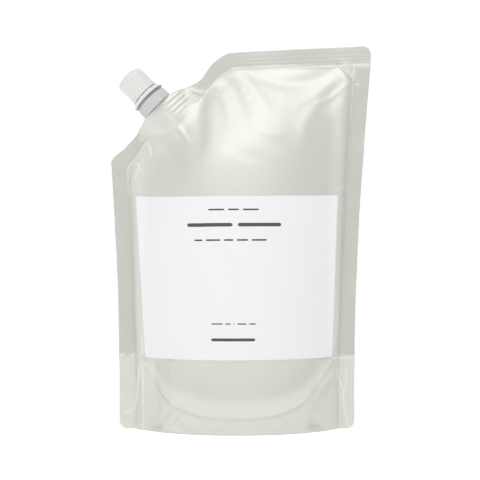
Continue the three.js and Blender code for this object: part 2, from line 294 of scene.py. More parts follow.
def line_gap(x, z, line):
    """Each place's distance from a line through points in millimetres, and how far along it lies."""
    course = through(line, 10)
    gap = np.full(x.shape, 1.0)
    passed = np.zeros(x.shape)
    for k, ((ax, az), (bx, bz)) in enumerate(zip(course, course[1:])):
        t = np.clip(((x - ax) * (bx - ax) + (z - az) * (bz - az))
                    / max((bx - ax) ** 2 + (bz - az) ** 2, 1e-12), 0, 1)
        here = np.hypot(x - ax - t * (bx - ax), z - az - t * (bz - az))
        passed = np.where(here < gap, (k + t) / (len(course) - 1), passed)
        gap = np.minimum(gap, here)
    return gap, passed


LABEL_LOW, LABEL_HIGH = 47.8 * MM, 155.6 * MM  # the label's place on the film, which it keeps flat
LABEL_FOOT = [-67.4 * MM, 70.0 * MM]  # its side edges at its foot and at its head
LABEL_HEAD = [-71.6 * MM, 70.8 * MM]

TURN_DOWN = 0.5 * MM  # depth of the valley where the film turns into a side seal
BELLY_SWELL, BELLY_VALLEY = 1.5 * MM, 0.7 * MM  # the belly over the round bottom seal
TOP_SWELL, SIDE_SWELL = 1.1 * MM, 2.6 * MM  # how far the full film stands up beside the other seals
TOP_BEAD = 0.6 * MM  # pressed out along the top seal's lower edge
JAW_LINE, JAW_PITCH = 0.09 * MM, 2.6 * MM  # the fine lines in the top seal
SIDE_WRINKLE, WRINKLE_PITCH = 0.05 * MM, 2.7 * MM
SEAL_STEP, SEAL_LIP = 0.12 * MM, 0.3 * MM  # the round bottom seal's face and its upper edge
WELD_BAR, WELD_PITCH = 0.32 * MM, 3.3 * MM  # the spout's weld bars, as the film shows them


def film_relief(u, v, points, top_gap, marks):
    """How far the film's seals, welds and creases stand out, how white its creases have gone, and
    where it is sealed flat."""
    x, z = points[..., 0], points[..., 2]
    side_gap = np.abs(u) - PANEL_HALF
    fold = bottom_seal(u)
    across, along = spout_place(x, z)
    off_boat = step(np.hypot(across / 1.5, along + 4 * MM) - 15 * MM, 2 * MM)
    in_label = step(v - LABEL_LOW, 1 * MM) * step(LABEL_HIGH - v, 1 * MM)
    free = 1 - in_label * step(-side_gap, 1 * MM)

    # Creases, and the film turning down into the side seals.
    relief = -TURN_DOWN * ridge(side_gap + 1.5 * MM, 2.0 * MM) * step(top_gap - TOP_SEAL, 2 * MM)
    relief *= step(v - SEAL_FOLD + 4 * MM, 5 * MM)
    whitened = 0.0 * relief
    for line, width, height, white in marks:
        gap, passed = line_gap(x, z, line)
        taper = np.sqrt(np.sin(math.pi * passed))
        fold_shape = ridge(gap, width * MM) - 0.3 * ridge(gap, 2.4 * width * MM)
        relief += height * MM * fold_shape * taper
        whitened = np.maximum(whitened, white * ridge(gap, 0.6 * width * MM) * taper)

    # The belly hangs over the round bottom seal.
    belly = step(-side_gap - 8 * MM, 4 * MM)
    relief += belly * BELLY_SWELL * ridge(v - fold - 12 * MM, 8 * MM)
    relief -= belly * BELLY_VALLEY * ridge(v - fold - 0.8 * MM, 1.5 * MM)

    # The full film stands up steeply beside the seals. The stiff label keeps the film under it flat.
    inside = np.maximum(top_gap - TOP_SEAL, 0)
    relief += TOP_SWELL * (1 - np.exp(-inside / (1.2 * MM))) * np.exp(-inside / (16 * MM)) * off_boat
    relief *= free * step(v - 3 * MM, 1.5 * MM)
    full = step(v - 50 * MM, 25 * MM) * step(top_gap - TOP_SEAL - 8 * MM, 6 * MM) * off_boat
    relief += SIDE_SWELL * ridge(side_gap + 7 * MM, 6 * MM) * full * (side_gap < 0)

    # The bars of the sealing jaws: a bead along the top seal, and fine lines pressed into it.
    bead = TOP_BEAD * ridge(inside - 1.3 * MM, 0.8 * MM) * (top_gap > TOP_SEAL)
    relief += bead * off_boat * step(-side_gap, 0.5 * MM)
    in_top = step(TOP_SEAL - 0.8 * MM - top_gap, 0.5 * MM) * step(top_gap - 1.2 * MM, 0.4 * MM)
    relief += JAW_LINE * np.sin(2 * math.pi * top_gap / JAW_PITCH) * in_top * off_boat
    in_side = step(side_gap - 1.5 * MM, 0.5 * MM) * step(FLAT_HALF - 2 * MM - np.abs(u), 1 * MM)
    wrinkle = np.sin(2 * math.pi * (v / WRINKLE_PITCH + 0.8 * np.sin(v / (17 * MM)) + u / (9 * MM)))
    relief += SIDE_WRINKLE * wrinkle * in_side * step(top_gap - 14 * MM, 3 * MM)
    relief += SEAL_STEP * step(fold - v, 0.5 * MM) + SEAL_LIP * ridge(v - fold, 0.7 * MM)

    # The spout's weld bars press through the film beside the neck.
    bar = np.cos(2 * math.pi * (along + 2.4 * MM) / WELD_PITCH)
    welded = step(-along - 0.9 * MM, 0.3 * MM) * step(along + 12.8 * MM, 0.3 * MM)
    welded *= step(across - 4 * MM, 1.5 * MM) * step(BOAT_HALF - 2 * MM - across, 1 * MM)
    relief += WELD_BAR * np.clip(bar, -0.5, 0.7) * welded

    # Above the gusset only two layers are sealed together; this marks where the film is coloured a
    # little darker.
    sealed = np.maximum(step(side_gap, 0.4 * MM), step(TOP_SEAL - top_gap, 0.4 * MM) * off_boat)
    sealed *= step(v - SEAL_FOLD, 1 * MM)
    return relief, whitened, sealed


# Creases in millimetres of the standing pouch: a line, half its width, its height, which is below
# nought for a valley, and how white the film has gone in it.
FRONT_MARKS = [
    # ridges running in from the top corners, and the flats and hollows between them
    ([(-2, 239), (5, 232), (14, 220), (22, 208)], 4, 0.7, 0),
    ([(71, 238), (60, 228.5), (46, 217), (37, 212)], 4, 0.7, 0),
    ([(-11, 234), (-4, 226.5), (2, 212), (7.5, 199)], 4.5, -0.85, 0),
    ([(-16, 237), (-11, 222), (-3, 202)], 4, 0.47, 0),
    ([(69, 236), (55, 218), (45, 200), (42, 180)], 5, 0.8, 0),
    ([(75, 214), (69.5, 204), (66, 194)], 5, -0.7, 0),
    ([(2, 238), (34, 228), (66, 237)], 5, -1.1, 0),
    ([(10, 198), (20, 192), (30, 191)], 3, 0.25, 0),
    ([(-6, 186), (4, 178), (18, 176)], 4, -0.25, 0),
    ([(22, 180), (34, 176), (44, 168)], 4, 0.25, 0),
    # the dent beside the top right corner
    ([(66, 243), (72, 239), (77, 232.5), (84, 229)], 1.6, -1.5, 0),
    ([(77.6, 232.5), (69.5, 225), (60, 217.5), (50, 213)], 1.8, 0.45, 0.2),
    # dents beside the label's top corners, and creases down the cut corner
    ([(76, 158.5), (69, 157), (60, 152.5)], 1.8, -0.8, 0),
    ([(-70, 156), (-64, 153.5)], 1.6, -0.8, 0),
    ([(-70, 168), (-67, 165.4), (-65.8, 161.4)], 0.8, 0.5, 0.33),
    ([(-66, 193.7), (-59.2, 186.8), (-57.6, 181.2), (-60.3, 177.2)], 0.9, 0.6, 0.59),
    ([(-69, 178), (-64, 174), (-66, 168)], 0.8, -0.5, 0.33),
    ([(-50, 208), (-44, 203), (-37, 196), (-31, 186)], 1.8, 0.7, 0.05),
    ([(-54, 196), (-44, 181), (-35, 168)], 5, -0.8, 0),
    ([(-32.6, 226), (-26, 223.5), (-18, 221.7), (-12.3, 219.7)], 1, 0.6, 0.52),
    ([(-30, 223), (-22, 218), (-16, 217)], 1, -0.5, 0.26),
    # upright folds below the label, and the side seals' creases
    ([(-54, 75), (-53, 22), (-51, -20)], 4.5, -2.2, 0),
    ([(-41, 75), (-40.4, 23), (-39, -20)], 4, 1.8, 0),
    ([(54, 50), (50, 14), (49, -20)], 4.5, -1.8, 0),
    ([(-61, 70), (-61, 24), (-60.6, -20)], 0.8, 0.4, 0.7),
    ([(65.3, 49), (66, 38), (67.2, 33), (69.7, 26.7), (70.3, 19), (71.5, 8.4), (75, -3)],
     0.8, 0.5, 0.8),
    ([(70.5, 48), (72, 40), (71.8, 30), (70.6, 20)], 0.7, 0.4, 0.7),
    ([(67, 30), (69, 20), (73, 14)], 0.7, 0.3, 0.5),
    ([(66, 48), (63.5, 37), (57, 29), (51, 19), (48, 4)], 3, -1.0, 0),
    ([(-62, 50), (-64.5, 33), (-66.3, 18), (-69, 13), (-76, 10)], 0.9, 0.6, 0.7),
    ([(-110, 48.2), (-55, 48.2)], 0.9, 0.5, 0.9),
    ([(55, 46.6), (110, 46.6)], 0.9, 0.5, 0.9),
]
BACK_MARKS = [
    ([(-70, 238), (-60, 228), (-47, 217)], 4, 0.95, 0),
    ([(2, 239), (-6, 230), (-14, 216)], 4, 0.85, 0),
    ([(10, 234), (4, 224), (-2, 206)], 4.5, -0.85, 0),
    ([(-73, 240), (-77, 233)], 1.4, -0.8, 0),
    ([(-74, 205), (-66, 192), (-60, 170)], 5, -0.7, 0),
    ([(70, 165), (63, 158), (54, 156)], 1.6, -0.8, 0),
    ([(61, 196), (53, 189), (48, 178)], 2, 0.7, 0),
    ([(44, 205), (33, 196), (30, 182)], 2.4, 0.7, 0),
    ([(-76, 120), (-66, 112), (-52, 110)], 2.4, -0.6, 0),
    ([(74, 96), (64, 90), (52, 92)], 2.4, -0.6, 0),
    ([(-53, 75), (-52, 22), (-51, -20)], 4.5, -1.1, 0),
    ([(50, 75), (50, 16), (49, -20)], 4.5, -1.1, 0),
    ([(-66, 42), (-64, 30), (-67, 16), (-65, 4)], 0.8, 0.4, 0.52),
    ([(-110, 48), (-55, 48)], 0.9, 0.5, 0.9),
    ([(55, 47), (110, 47)], 0.9, 0.5, 0.9),
]

# The film's columns across it and its rows up the simulated grid, closest where it creases most.
FILM_U = spaced([(-FLAT_HALF, 0.5 * MM), (-86 * MM, 1.0 * MM), (-83 * MM, 0.7 * MM),
                 (-24 * MM, 1.5 * MM), (62 * MM, 0.9 * MM), (67 * MM, 0.5 * MM),
                 (85 * MM, 0.4 * MM), (FLAT_HALF, 1)])
FILM_ROWS = spaced([(0, 0.32), (18, 0.85), (52, 0.33), (79, 0.2), (81, 0.25), (GRID_ROWS - 1, 1)])


def film_panel(name, facing, marks):
    """One panel of the filled pouch: its flat places, its finished grid, and how whitened and how
    sealed it is at each point."""
    flat, filled = fill_panel(name, facing, steps=16)
    u_place = np.interp(FILM_U, flat[:, 0, 0], np.arange(len(flat)))
    fine = resampled(resampled(filled, u_place, 0), FILM_ROWS, 1)
    fine_flat = resampled(resampled(flat, u_place, 0), FILM_ROWS, 1)
    u, v = fine_flat[..., 0], fine_flat[..., 1]
    normal = outward(fine) * (1 if facing < 0 else -1)
    top_gap = v[:, -1:] - v
    relief, whitened, sealed = film_relief(u, v, fine, top_gap, marks)
    least = np.maximum(boat_cover(fine[..., 0], fine[..., 2]), SEALED_HALF)
    fine[..., 1] = facing * np.maximum(facing * fine[..., 1], least)
    fine += normal * relief[..., None]
    fine[..., 2] = np.maximum(fine[..., 2], 0) + corner_drop(u) * np.clip(1 - v / SIDE_SEAL, 0, 1)
    fine[..., 2] -= corner_drop(np.maximum(u, 0)) * np.clip(1 - top_gap / SIDE_SEAL, 0, 1)
    return fine_flat, fine, whitened, sealed


film_flat, front, front_white, front_sealed = film_panel("front_panel", -1, FRONT_MARKS)
_, back, back_white, back_sealed = film_panel("back_panel", 1, BACK_MARKS)

# The seal's two laminates never pass through each other.
crossed = front[..., 1] > back[..., 1] - 2 * SEALED_HALF
middle = (front[..., 1] + back[..., 1]) / 2
front[..., 1] = np.where(crossed, middle - SEALED_HALF, front[..., 1])
back[..., 1] = np.where(crossed, middle + SEALED_HALF, back[..., 1])

# The seals are not quite flat: the pull of the filled panels waves them a little.
SIDE_SWAY, TOP_SWAY = 0.7 * MM, 0.5 * MM
film_u, film_v = film_flat[..., 0], film_flat[..., 1]
from_top = film_v[:, -1:] - film_v
side_wave = np.sin(film_v / (11 * MM) + np.sign(film_u)) + 0.5 * np.sin(film_v / (4.3 * MM))
side_wave *= np.clip((np.abs(film_u) - PANEL_HALF) / SIDE_SEAL, 0, 1)
side_wave *= np.clip((film_v - 15 * MM) / (40 * MM), 0, 1) * np.clip(from_top / (30 * MM), 0, 1)
top_wave = np.sin(film_u / (9 * MM)) * (film_u > -20 * MM)
top_wave *= np.clip(1 - from_top / TOP_SEAL, 0, 1)
sway = SIDE_SWAY * side_wave + TOP_SWAY * top_wave
front[..., 1] += sway
back[..., 1] += sway

# The bottom gusset: up inside the front skirt to the round seal, across, sagging to the floor, and
# down inside the back skirt.
GUSSET_SAG = 30 * MM
GUSSET_LIFT = 3 * MM  # how softly it lies down on the floor
GUSSET_FOLD, GUSSET_WRINKLE = 0.9 * MM, 0.6 * MM  # its middle fold, and the gathers near its ends
GUSSET_STEPS = 40
SKIRT_STEPS = 14
SKIRT_GAP = 0.8 * MM  # between a skirt's outer film and the gusset's film inside it
GATHERED = 1.5 * MM  # the gusset's two ends stop this far inside the side seals

front_inside = front - outward(front) * np.minimum(SKIRT_GAP, np.abs(front[..., 1:2]) / 2)
back_inside = back + outward(back) * np.minimum(SKIRT_GAP, np.abs(back[..., 1:2]) / 2)
for skirt_film in (front_inside, back_inside):
    skirt_film[..., 2] = np.maximum(skirt_film[..., 2], 0)


def up_film(panel, column, reach):
    """Places on one column of a panel at these heights up the film."""
    line = panel[column]
    return np.stack([np.interp(reach, film_v[column], line[:, k]) for k in range(3)], axis=-1)


def gusset_line(column):
    """The underside from the front panel's lower edge to the back one's, for one column."""
    u = FILM_U[column]
    skirt = np.linspace(0, 1, SKIRT_STEPS)[1:]
    inside = abs(u) < PANEL_HALF - GATHERED
    reach = bottom_seal(u) * skirt if inside else 0 * skirt
    up = up_film(front_inside, column, reach)
    down = up_film(back_inside, column, reach[::-1])
    crossing = np.linspace(-1, 1, GUSSET_STEPS)[1:-1]
    across = up[-1] + (down[0] - up[-1]) * (crossing[:, None] + 1) / 2
    if inside:
        off_middle = u / PANEL_HALF
        drop = GUSSET_SAG * math.sqrt(1 - off_middle ** 2) * (1 - crossing ** 4)
        gather = np.sin(u / (1.6 * MM) + 2 * crossing) * abs(off_middle) * (1 - crossing ** 2)
        sagged = across[:, 2] - drop + GUSSET_WRINKLE * gather
        settled = GUSSET_LIFT * np.exp(np.clip(sagged / GUSSET_LIFT - 1, -30, 0))
        across[:, 2] = np.where(sagged > GUSSET_LIFT, sagged, settled)
        across[:, 2] += GUSSET_FOLD * ridge(crossing, 0.06)
        near = up_film(front_inside, column, across[:, 2])[:, 1]
        far = up_film(back_inside, column, across[:, 2])[:, 1]
        middle = (near + far) / 2
        across[:, 1] = np.clip(across[:, 1], np.minimum(near, middle), np.maximum(far, middle))
    return np.vstack([up, across, down])


def add_grid(points, faces, grid, flip=False):
    """Adds a grid of points and its faces, and returns the points' numbers."""
    numbers = len(points) + np.arange(grid.shape[0] * grid.shape[1]).reshape(grid.shape[:2])
    points.extend(grid.reshape(-1, 3).tolist())
    add_faces(faces, numbers, flip)
    return numbers


def add_faces(faces, numbers, flip=False):
    """Adds the faces between the points of a grid of point numbers."""
    quads = np.stack([numbers[:-1, :-1], numbers[1:, :-1], numbers[1:, 1:], numbers[:-1, 1:]], axis=2)
    quads = quads.reshape(-1, 4)
    faces.extend((quads[:, ::-1] if flip else quads).tolist())


def add_object(name, points, faces, material):
    """A smooth mesh object in the scene."""
    mesh = bpy.data.meshes.new(name)
    mesh.from_pydata(points, [], faces)
    mesh.validate()
    mesh.polygons.foreach_set("use_smooth", [True] * len(mesh.polygons))
    mesh.materials.append(material)
    piece = bpy.data.objects.new(name, mesh)
    bpy.context.scene.collection.objects.link(piece)
    return piece


RIM_OPEN = 1.0 * MM  # the top edge is open where the spout's base holds the panels this far apart
film_points, film_faces = [], []
front_numbers = add_grid(film_points, film_faces, front)
back_numbers = add_grid(film_points, film_faces, back, flip=True)
under = np.stack([gusset_line(column) for column in range(len(FILM_U))])
under_numbers = add_grid(film_points, film_faces, under, flip=True)
add_faces(film_faces, np.stack([front_numbers[:, 0], under_numbers[:, 0]], axis=1), flip=True)
add_faces(film_faces, np.stack([under_numbers[:, -1], back_numbers[:, 0]], axis=1), flip=True)
for column, flip in ((0, True), (-1, False)):
    add_faces(film_faces, np.stack([front_numbers[column], back_numbers[column]], axis=1), flip)
rim = np.stack([front_numbers[:, -1], back_numbers[:, -1]], axis=1)
rim_gap = back[:, -1, 1] - front[:, -1, 1]
for column in range(len(FILM_U) - 1):
    if max(rim_gap[column:column + 2]) < RIM_OPEN:
        add_faces(film_faces, rim[column:column + 2], flip=False)


def linear(hex_colour):
    """A #rrggbb colour as linear values with full alpha."""
    values = [int(hex_colour[i:i + 2], 16) / 255 for i in (1, 3, 5)]
    return [v / 12.92 if v <= 0.04045 else ((v + 0.055) / 1.055) ** 2.4 for v in values] + [1]


def add_node(tree, kind, inputs, **settings):
    """Adds a shader node. inputs gives each socket by name a value, or another node's output."""
    node = tree.nodes.new("ShaderNode" + kind)
    for name, value in settings.items():
        setattr(node, name, value)
    for name, value in inputs.items():
        if isinstance(value, bpy.types.NodeSocket):
            tree.links.new(value, node.inputs[name])
        else:
            node.inputs[name].default_value = value
    return node


def new_material(name, **surface):
    """A material with the fixed values of its surface shader set, its node tree and shader, and the
    place in the piece that its patterns are laid on."""
    material = bpy.data.materials.new(name)
    material.use_nodes = True
    shader = material.node_tree.nodes["Principled BSDF"]
    for socket, value in surface.items():
        shader.inputs[socket.replace("_", " ")].default_value = value
    place = add_node(material.node_tree, "TexCoord", {}).outputs["Object"]
    return material, material.node_tree, shader, place


def mottled(tree, place, dark, light, lump, **grain):
    """A colour that drifts between two tints in lumps of about this size, and the noise behind it."""
    cloud = add_node(tree, "TexNoise", {"Vector": place, "Scale": 1 / lump, **grain})
    tint = add_node(tree, "Mix", {"Factor": cloud.outputs["Fac"], "A": linear(dark),
                                  "B": linear(light)}, data_type="RGBA")
    return tint.outputs["Result"], cloud.outputs["Fac"]


# Pearl-printed laminate: polyester film over pearl ink, white film and a polyethylene sealing
# layer. The ink's mica flakes give a soft, wide sheen, and the polyester a thin clear gloss over it.
laminate, tree, shader, place = new_material("pearl_printed_laminate", Metallic=0.42, IOR=1.5,
                                             Coat_Weight=0.18, Coat_Roughness=0.3, Coat_IOR=1.6)
tint, _ = mottled(tree, place, "#d4d7ce", "#dadcd4", 35 * MM)
# In the seals the film's colour is mixed a shade darker, and sharply creased it goes chalky white.
fused = add_node(tree, "Attribute", {}, attribute_name="sealed")
pressed = add_node(tree, "Mix", {"Factor": fused.outputs["Fac"], "A": tint,
                                 "B": linear("#c8cbc2")}, data_type="RGBA")
stress = add_node(tree, "Attribute", {}, attribute_name="whitened")
creased = add_node(tree, "Mix", {"Factor": stress.outputs["Fac"], "A": pressed.outputs["Result"],
                                 "B": linear("#f0efe4")}, data_type="RGBA")
tree.links.new(creased.outputs["Result"], shader.inputs["Base Color"])
# The flakes are far finer than this, and are drawn as coarse as they need to be to show.
flake = add_node(tree, "TexNoise", {"Vector": place, "Scale": 1 / (0.5 * MM), "Detail": 3.0,
                                    "Roughness": 0.7})
sheen = add_node(tree, "MapRange", {"Value": flake.outputs["Fac"], "From Min": 0.3, "From Max": 0.7,
                                    "To Min": 0.46, "To Max": 0.56})
tree.links.new(sheen.outputs["Result"], shader.inputs["Roughness"])
crinkle = add_node(tree, "TexNoise", {"Vector": place, "Scale": 1 / (7 * MM), "Detail": 3.0,
                                      "Roughness": 0.55})
soft = add_node(tree, "Bump", {"Height": crinkle.outputs["Fac"], "Strength": 1.0,
                               "Distance": 0.10 * MM})
grain = add_node(tree, "Bump", {"Height": flake.outputs["Fac"], "Strength": 1.0,
                                "Distance": 0.012 * MM, "Normal": soft.outputs["Normal"]})
tree.links.new(grain.outputs["Normal"], shader.inputs["Normal"])

film = add_object("film_pouch", film_points, film_faces, laminate)
for named, front_values, back_values in (("whitened", front_white, back_white),
                                         ("sealed", front_sealed, back_sealed)):
    values = np.zeros(len(film_points))
    values[front_numbers] = front_values
    values[back_numbers] = back_values
    film.data.attributes.new(named, "FLOAT", "POINT").data.foreach_set("value", values)
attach(film, "pouch")
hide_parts("pouch")


# ---- spout --------------------------------------------------------------------------------------
# One injection moulding of natural polyethylene. Its pointed oval base is welded between the panels,
# a notched collar above it is held by the filling machine, and the neck carries the thread.

SPOUT_ACROSS = Vector((0, 1, 0)).cross(SPOUT_AXIS)
ROUND = 288  # points round each turned piece


def on_spout(radius, angle, height):
    """A place at a radius and angle round the spout's axis, height along it from the film's edge."""
    radius, angle, height = np.broadcast_arrays(radius, angle, height)
    side, along = radius * np.sin(angle), radius * np.cos(angle)
    return (np.array(SPOUT_AT) + np.array(SPOUT_ACROSS) * along[..., None]
            + np.array((0, 1, 0)) * side[..., None] + np.array(SPOUT_AXIS) * height[..., None])


def rounded(profile, radius, steps=4):
    """A closed outline of [radius, height] points in millimetres with its corners rounded."""
    made = []
    count = len(profile)
    for k, point in enumerate(profile):
        here = np.array(point, float)
        to_last = np.array(profile[k - 1], float) - here
        to_next = np.array(profile[(k + 1) % count], float) - here
        reach = min(radius, 0.45 * np.linalg.norm(to_last), 0.45 * np.linalg.norm(to_next))
        start = here + to_last / np.linalg.norm(to_last) * reach
        end = here + to_next / np.linalg.norm(to_next) * reach
        for t in np.linspace(0, 1, steps):
            made.append((1 - t) ** 2 * start + 2 * t * (1 - t) * here + t ** 2 * end)
    return np.array(made)


def split(outline, longest=0.45):
    """The outline with its long sides cut into short ones."""
    made = []
    for a, b in zip(outline, np.roll(outline, -1, axis=0)):
        count = max(1, math.ceil(np.linalg.norm(b - a) / longest))
        made += [a + (b - a) * k / count for k in range(count)]
    return np.array(made)


def turned(outline, shaping=None, around=ROUND):
    """Points and faces of a closed outline turned about the spout's axis.

    shaping(radius, height, angle) gives back the radius with grooves or threads in it, in mm."""
    angle = np.linspace(0, 2 * math.pi, around, endpoint=False)
    radius = np.repeat(outline[:, :1], around, axis=1)
    height = np.repeat(outline[:, 1:], around, axis=1)
    turn = np.repeat(angle[None], len(outline), axis=0)
    if shaping:
        radius = shaping(radius, height, turn)
    points = on_spout(radius * MM, turn, height * MM).reshape(-1, 3).tolist()
    number = np.arange(len(outline) * around).reshape(len(outline), around)
    ring = np.vstack([number, number[:1]])
    ring = np.hstack([ring, ring[:, :1]])
    faces = []
    add_faces(faces, ring)
    return points, faces


# The turned pieces' sizes are in millimetres, their heights along the axis from the film's edge.
THREAD_LEAD, THREAD_STARTS, THREAD_FOOT = 7.5, 2, 14.0


def thread(height, angle, start, depth, low, high, width=0.9):
    """Height of the screw thread's ridges above its core at each place, with run-outs at its ends."""
    pitch = THREAD_LEAD / THREAD_STARTS
    place = (height - start - THREAD_LEAD * angle / (2 * math.pi)) / pitch
    off = np.abs(place - np.round(place)) * pitch
    fade = np.clip((height - low) / 1.2, 0, 1) * np.clip((high - height) / 1.2, 0, 1)
    return depth * np.clip(1.6 - 1.6 * off / width, 0, 1) * fade


COLLAR_R, COLLAR_TOP, COLLAR_NOTCHES = 11.6, 7.6, 40
NOTCH_DEPTH, NECK_THREAD = 0.35, 0.45
NECK_R, NECK_TOP, BORE_R = 8.1, 26.7, 6.5
BAND_BOTTOM, BAND_TOP = 9.4, 12.3
STEM_R, STEM_BOTTOM = 7.5, -BOAT_BOTTOM / MM

spout_outline = split(rounded([
    (BORE_R, STEM_BOTTOM), (BORE_R, NECK_TOP), (NECK_R, NECK_TOP), (NECK_R, 12.2), (9.0, 11.5),
    (9.0, 10.9), (NECK_R, 10.2), (9.1, BAND_BOTTOM), (9.1, COLLAR_TOP), (COLLAR_R - 0.6, COLLAR_TOP),
    (COLLAR_R, COLLAR_TOP - 0.6), (COLLAR_R, 0.5), (STEM_R, 0.5), (STEM_R, STEM_BOTTOM)], 0.3))


def spout_shaping(radius, height, angle):
    """The neck's thread and the collar's notches."""
    neck = (radius > NECK_R - 0.2) & (height > 13.5) & (height < NECK_TOP - 0.6)
    radius = radius + neck * thread(height, angle, THREAD_FOOT, NECK_THREAD, 14.2, 24.4)
    collar = (radius > COLLAR_R - 0.3) & (height < COLLAR_TOP)
    fade = np.clip((height - 0.5) / 0.5, 0, 1) * np.clip((COLLAR_TOP - height) / 0.6, 0, 1)
    groove = np.clip(1.5 * np.cos(COLLAR_NOTCHES * angle) - 0.4, 0, 1)
    return radius - collar * fade * NOTCH_DEPTH * groove


spout_points, spout_faces = turned(spout_outline, spout_shaping, COLLAR_NOTCHES * 8)


def boat_ring(height, inset):
    """The pointed oval of the spout's base at a height in mm, that far inside the film over it."""
    t = np.linspace(-1, 1, 65)[:-1]
    half = BOAT_HALF + 1.6 * MM
    across = half * np.concatenate([t, -t])
    film_half = (BOAT_THICK / 2 + COVER_GAP) * (1 - (across / (BOAT_HALF + COVER_WIDER)) ** 2)
    side = np.maximum(film_half - inset * MM, 0.05 * MM) * np.repeat([-1, 1], len(t))
    edge_across, edge_along = spout_place(*TOP_EDGE.T)
    edge = np.interp(across, edge_across, edge_along)
    up = np.minimum(height * MM, edge + 0.15 * MM)
    return (np.array(SPOUT_AT) + np.array(SPOUT_ACROSS) * across[:, None]
            + np.array((0, 1, 0)) * side[:, None] + np.array(SPOUT_AXIS) * up[:, None])


WELD_BARS = 4
BETWEEN_BARS, ON_BAR, AT_TOP = 0.75, 0.35, 0.1  # how far the base lies inside the film over it


def add_boat(points, faces):
    """The welded base with its weld bars, closed at both ends round the stem."""
    rows = [(STEM_BOTTOM, BETWEEN_BARS)]
    for bar in range(WELD_BARS):
        low = STEM_BOTTOM + 0.4 + WELD_PITCH / MM * bar
        rows += [(low, BETWEEN_BARS), (low + 0.25, ON_BAR), (low + 1.5, ON_BAR),
                 (low + 1.75, BETWEEN_BARS)]
    rows += [(-0.6, BETWEEN_BARS), (-0.4, AT_TOP), (0.3, AT_TOP)]
    stem_angle = np.linspace(-math.pi, math.pi, 129)[:-1] + math.pi / 2
    low_end, high_end = [on_spout((STEM_R - 0.1) * MM, stem_angle, h * MM)
                         for h in (STEM_BOTTOM, 0.3)]
    rings = np.stack([low_end] + [boat_ring(h, inset) for h, inset in rows] + [high_end])
    add_grid(points, faces, np.concatenate([rings, rings[:, :1]], axis=1))


add_boat(spout_points, spout_faces)


def moulded(name, lump, dark, light, pit, glossy, dull, deep, **surface):
    """A moulded plastic. Its colour drifts between two tints in soft lumps, and the fine pits of the
    mould's spark-eroded face vary its gloss and its level."""
    material, tree, shader, place = new_material(name, **surface)
    tint, _ = mottled(tree, place, dark, light, lump)
    tree.links.new(tint, shader.inputs["Base Color"])
    erosion = add_node(tree, "TexNoise", {"Vector": place, "Scale": 1 / pit})
    sheen = add_node(tree, "MapRange", {"Value": erosion.outputs["Fac"], "To Min": glossy,
                                        "To Max": dull})
    tree.links.new(sheen.outputs["Result"], shader.inputs["Roughness"])
    bump = add_node(tree, "Bump", {"Height": erosion.outputs["Fac"], "Distance": deep})
    tree.links.new(bump.outputs["Normal"], shader.inputs["Normal"])
    return material


# Natural low-density polyethylene, injection moulded: milky and a little see-through, with the
# waxy half gloss of the mould's fine spark-eroded face.
natural_pe = moulded("moulded_natural_polyethylene", lump=6 * MM, dark="#c3c6c5", light="#d0d2d0",
                     pit=0.25 * MM, glossy=0.34, dull=0.5, deep=0.02 * MM, IOR=1.51,
                     Subsurface_Weight=0.3, Subsurface_Radius=(1.0, 1.0, 1.0),
                     Subsurface_Scale=1.2 * MM)

spout = add_object("spout_moulding", spout_points, spout_faces, natural_pe)
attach(spout, "pouch")
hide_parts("spout")


# ---- tamper band --------------------------------------------------------------------------------
# The ring that stays on the neck when the cap is first turned. It is moulded with the cap, flares
# out to a lip, and thin bridges across the slit tear at the first opening.

BAND_LIP_R, BAND_TOP_R, BAND_INNER_R = 12.3, 10.3, 9.4
BRIDGES, BRIDGE_HALF_ANGLE, BRIDGE_UP = 8, 0.045, 0.35
band_outline = split(rounded([
    (BAND_INNER_R, BAND_TOP), (BAND_TOP_R, BAND_TOP), (BAND_TOP_R + 0.2, BAND_TOP - 0.7),
    (BAND_LIP_R, BAND_BOTTOM + 1.0), (BAND_LIP_R, BAND_BOTTOM), (BAND_LIP_R - 0.9, BAND_BOTTOM),
    (BAND_INNER_R, BAND_BOTTOM + 1.6)][::-1], 0.35), 0.5)
band_points, band_faces = turned(band_outline)
for bridge in range(BRIDGES):
    angle = 2 * math.pi * (bridge + 0.5) / BRIDGES + np.array([-1, 1]) * BRIDGE_HALF_ANGLE
    ring = [[on_spout(r * MM, angle, h * MM) for r in (BAND_INNER_R, BAND_TOP_R - 0.15)]
            for h in (BAND_TOP - 0.1, BAND_TOP + BRIDGE_UP)]
    first = len(band_points)
    band_points += np.array(ring).reshape(-1, 3).tolist()
    for face in ((0, 1, 3, 2), (4, 6, 7, 5), (0, 4, 5, 1), (2, 3, 7, 6), (0, 2, 6, 4), (1, 5, 7, 3)):
        band_faces.append([first + k for k in face])

# White high-density polyethylene, injection moulded from one shot for cap and band: opaque, with a
# satin face and slightly creamy where it is thin.
white_pe = moulded("moulded_white_polyethylene", lump=8 * MM, dark="#dfe1de", light="#e6e7e4",
                   pit=0.3 * MM, glossy=0.3, dull=0.44, deep=0.006 * MM, IOR=1.54,
                   Subsurface_Weight=0.06, Subsurface_Radius=(1.0, 0.95, 0.85),
                   Subsurface_Scale=0.8 * MM)

band = add_object("tamper_ring", band_points, band_faces, white_pe)
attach(band, "pouch")
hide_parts("tamper_band")


# ---- cap ----------------------------------------------------------------------------------------
# The screw cap, moulded in one shot with the band. Fine ribs for grip run up its side and over the
# rounded edge, and a two-start thread inside meets the neck's.

